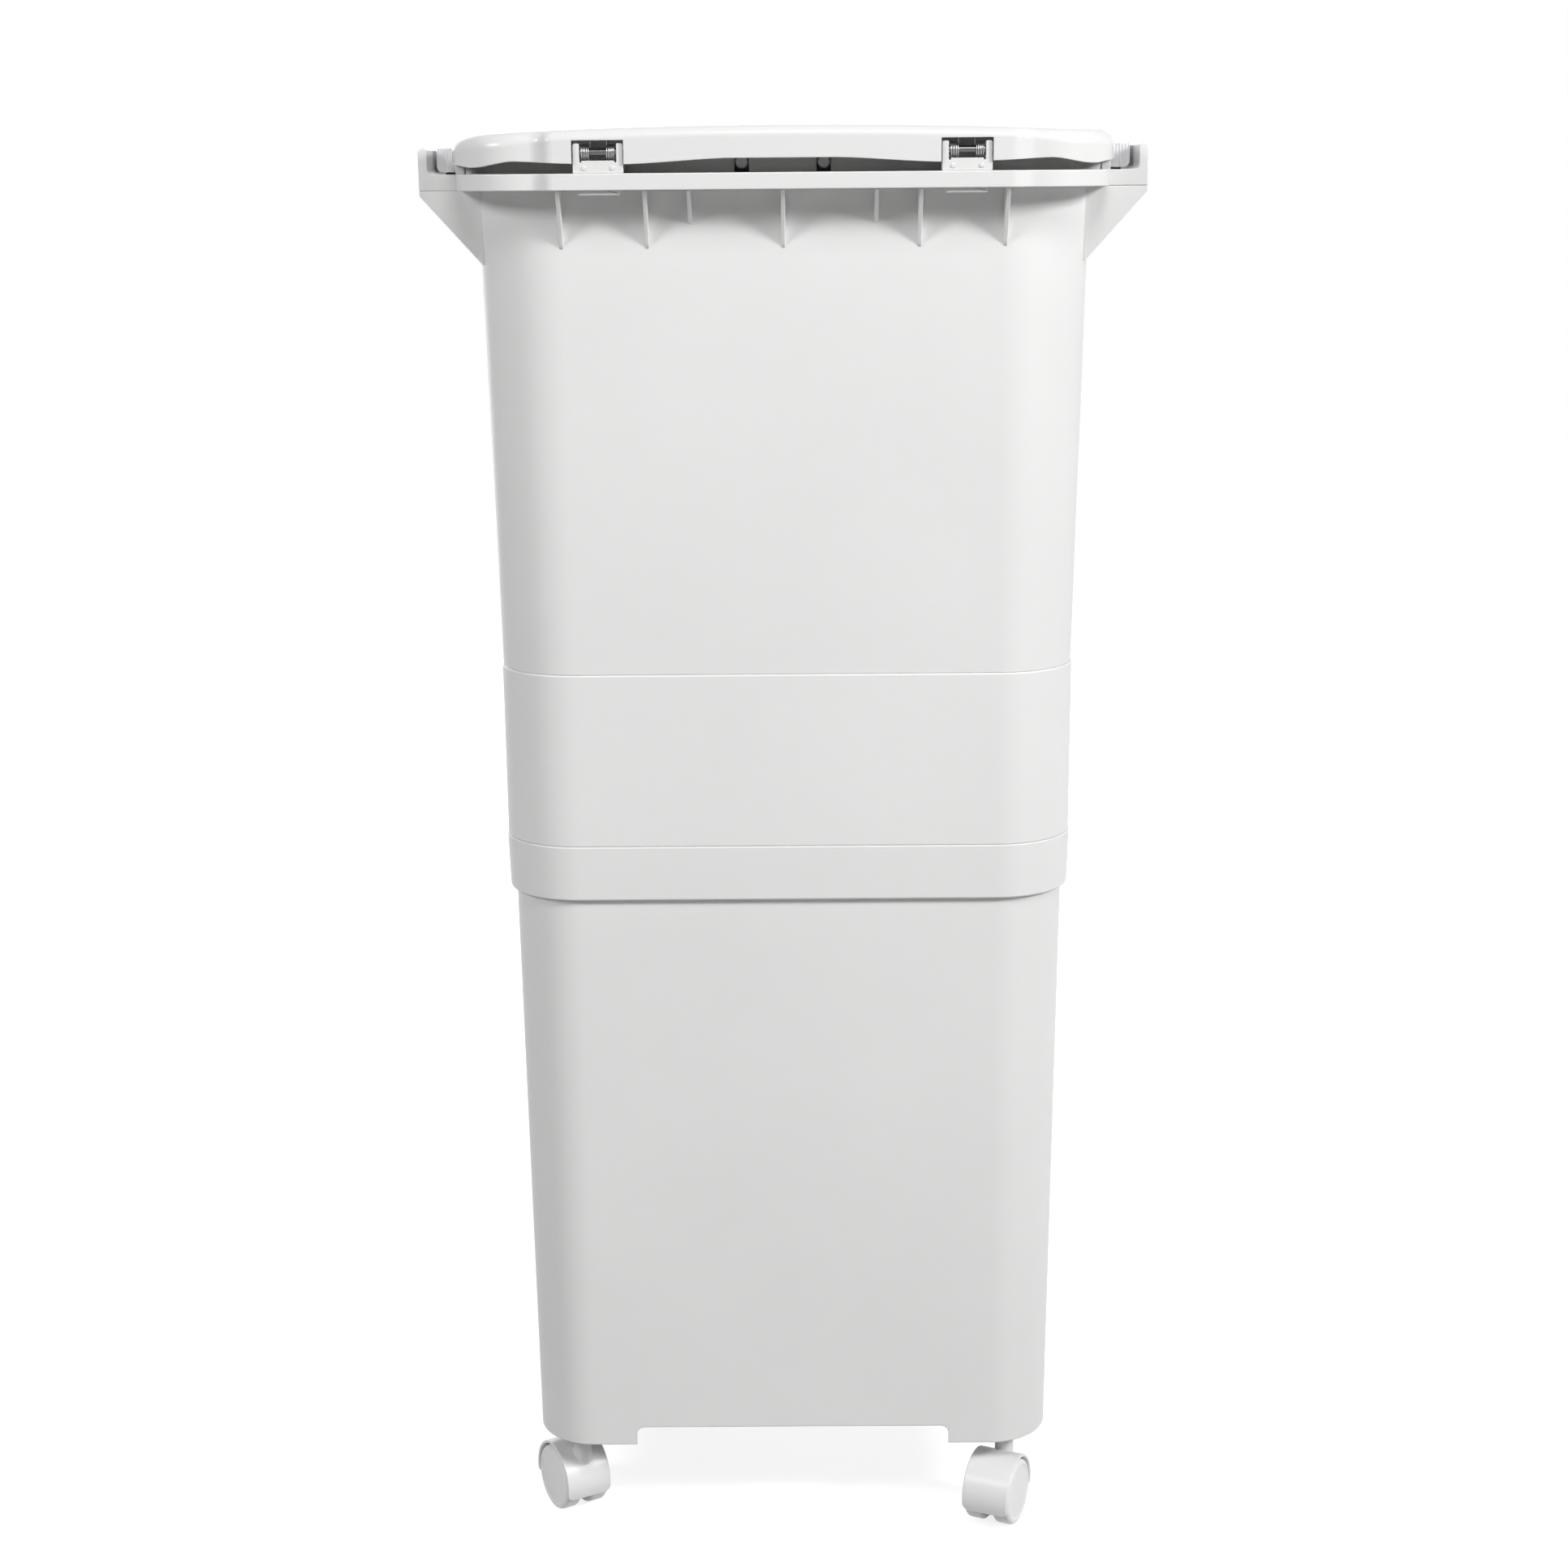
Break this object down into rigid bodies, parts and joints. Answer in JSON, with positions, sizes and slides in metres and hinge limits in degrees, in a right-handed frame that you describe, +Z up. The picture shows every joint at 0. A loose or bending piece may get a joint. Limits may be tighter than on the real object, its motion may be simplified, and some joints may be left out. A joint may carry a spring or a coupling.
{
  "type": "two-tier lidded hamper on casters",
  "caption": "Tall rounded hamper of stacked plastic bins with a collar, a front flap, a sprung rear-hinged lid, side handles and swivel casters, for sorting laundry or waste.",
  "frame": {"origin": "on the floor under the middle of the whole part", "axes": "+Z up, front with the flap and button towards -Y, right as seen from the front towards +X"},
  "size_m": [0.401, 0.34, 0.8377],
  "materials": {
    "bin_plastic": "satin",
    "lid_plastic": "semi-gloss",
    "grip_plastic": "satin",
    "button_plastic": "semi-gloss",
    "fitting_plastic": "satin",
    "caster_plastic": "semi-gloss",
    "wheel_plastic": "satin",
    "steel": "drawn"
  },
  "bodies": {
    "base": {"lower_bin": "bin_plastic", "middle_collar": "bin_plastic", "caster_rear_right_stem": "steel", "caster_rear_left_stem": "steel", "caster_front_right_stem": "steel", "caster_front_left_stem": "steel"},
    "upper": {"upper_bin": "bin_plastic", "top_frame": "lid_plastic", "grip_left": "grip_plastic", "grip_right": "grip_plastic", "bag_pegs": "fitting_plastic", "button_spring": "steel", "hinge_bracket_left": "fitting_plastic", "hinge_bracket_right": "fitting_plastic", "hinge_springs_left": "steel", "hinge_springs_right": "steel"},
    "lid": {"lid": "lid_plastic", "hinge_pin_left": "steel", "hinge_pin_right": "steel"},
    "button": {"latch_button": "button_plastic"},
    "flap": {"front_flap": "bin_plastic", "flap_pin_left": "steel", "flap_pin_right": "steel"},
    "caster_rear_right": {"caster_rear_right_hood": "caster_plastic", "caster_rear_right_axle": "steel"},
    "wheel_rear_right_left": {"caster_rear_right_wheel_left": "wheel_plastic"},
    "wheel_rear_right_right": {"caster_rear_right_wheel_right": "wheel_plastic"},
    "caster_rear_left": {"caster_rear_left_hood": "caster_plastic", "caster_rear_left_axle": "steel"},
    "wheel_rear_left_left": {"caster_rear_left_wheel_left": "wheel_plastic"},
    "wheel_rear_left_right": {"caster_rear_left_wheel_right": "wheel_plastic"},
    "caster_front_right": {"caster_front_right_hood": "caster_plastic", "caster_front_right_axle": "steel"},
    "wheel_front_right_left": {"caster_front_right_wheel_left": "wheel_plastic"},
    "wheel_front_right_right": {"caster_front_right_wheel_right": "wheel_plastic"},
    "caster_front_left": {"caster_front_left_hood": "caster_plastic", "caster_front_left_axle": "steel"},
    "wheel_front_left_left": {"caster_front_left_wheel_left": "wheel_plastic"},
    "wheel_front_left_right": {"caster_front_left_wheel_right": "wheel_plastic"}
  },
  "joints": [
    {"name": "upper_lift", "type": "slide", "parent": "base", "child": "upper", "axis": [0, 0, 1], "range_m": [0, 0.12]},
    {"name": "lid_hinge", "type": "hinge", "parent": "upper", "child": "lid", "pos_m": [0, 0.1645, 0.8238], "axis": [-1, 0, 0], "range_deg": [0, 95], "deforming": ["hinge_springs_left", "hinge_springs_right"]},
    {"name": "button_press", "type": "slide", "parent": "upper", "child": "button", "axis": [0, 1, 0], "range_m": [0, 0.004], "stiffness_N_per_m": 300, "deforming": ["button_spring"]},
    {"name": "flap_hinge", "type": "hinge", "parent": "base", "child": "flap", "pos_m": [0, -0.13726, 0.4565], "axis": [1, 0, 0], "range_deg": [0, 80]},
    {"name": "swivel_rear_right", "type": "hinge", "parent": "base", "child": "caster_rear_right", "pos_m": [0.131, 0.107, 0.05], "axis": [0, 0, 1], "continuous": true},
    {"name": "spin_rear_right_left", "type": "hinge", "parent": "caster_rear_right", "child": "wheel_rear_right_left", "pos_m": [0.1375, 0.09574, 0.02], "axis": [0.866, 0.5, 0], "continuous": true},
    {"name": "spin_rear_right_right", "type": "hinge", "parent": "caster_rear_right", "child": "wheel_rear_right_right", "pos_m": [0.1375, 0.09574, 0.02], "axis": [0.866, 0.5, 0], "continuous": true},
    {"name": "swivel_rear_left", "type": "hinge", "parent": "base", "child": "caster_rear_left", "pos_m": [-0.131, 0.107, 0.05], "axis": [0, 0, 1], "continuous": true},
    {"name": "spin_rear_left_left", "type": "hinge", "parent": "caster_rear_left", "child": "wheel_rear_left_left", "pos_m": [-0.12571, 0.11888, 0.02], "axis": [-0.9135, 0.4067, 0], "continuous": true},
    {"name": "spin_rear_left_right", "type": "hinge", "parent": "caster_rear_left", "child": "wheel_rear_left_right", "pos_m": [-0.12571, 0.11888, 0.02], "axis": [-0.9135, 0.4067, 0], "continuous": true},
    {"name": "swivel_front_right", "type": "hinge", "parent": "base", "child": "caster_front_right", "pos_m": [0.131, -0.107, 0.05], "axis": [0, 0, 1], "continuous": true},
    {"name": "spin_front_right_left", "type": "hinge", "parent": "caster_front_right", "child": "wheel_front_right_left", "pos_m": [0.12763, -0.11956, 0.02], "axis": [0.9659, -0.2588, 0], "continuous": true},
    {"name": "spin_front_right_right", "type": "hinge", "parent": "caster_front_right", "child": "wheel_front_right_right", "pos_m": [0.12763, -0.11956, 0.02], "axis": [0.9659, -0.2588, 0], "continuous": true},
    {"name": "swivel_front_left", "type": "hinge", "parent": "base", "child": "caster_front_left", "pos_m": [-0.131, -0.107, 0.05], "axis": [0, 0, 1], "continuous": true},
    {"name": "spin_front_left_left", "type": "hinge", "parent": "caster_front_left", "child": "wheel_front_left_left", "pos_m": [-0.1371, -0.09552, 0.02], "axis": [-0.8829, -0.4695, 0], "continuous": true},
    {"name": "spin_front_left_right", "type": "hinge", "parent": "caster_front_left", "child": "wheel_front_left_right", "pos_m": [-0.1371, -0.09552, 0.02], "axis": [-0.8829, -0.4695, 0], "continuous": true}
  ]
}
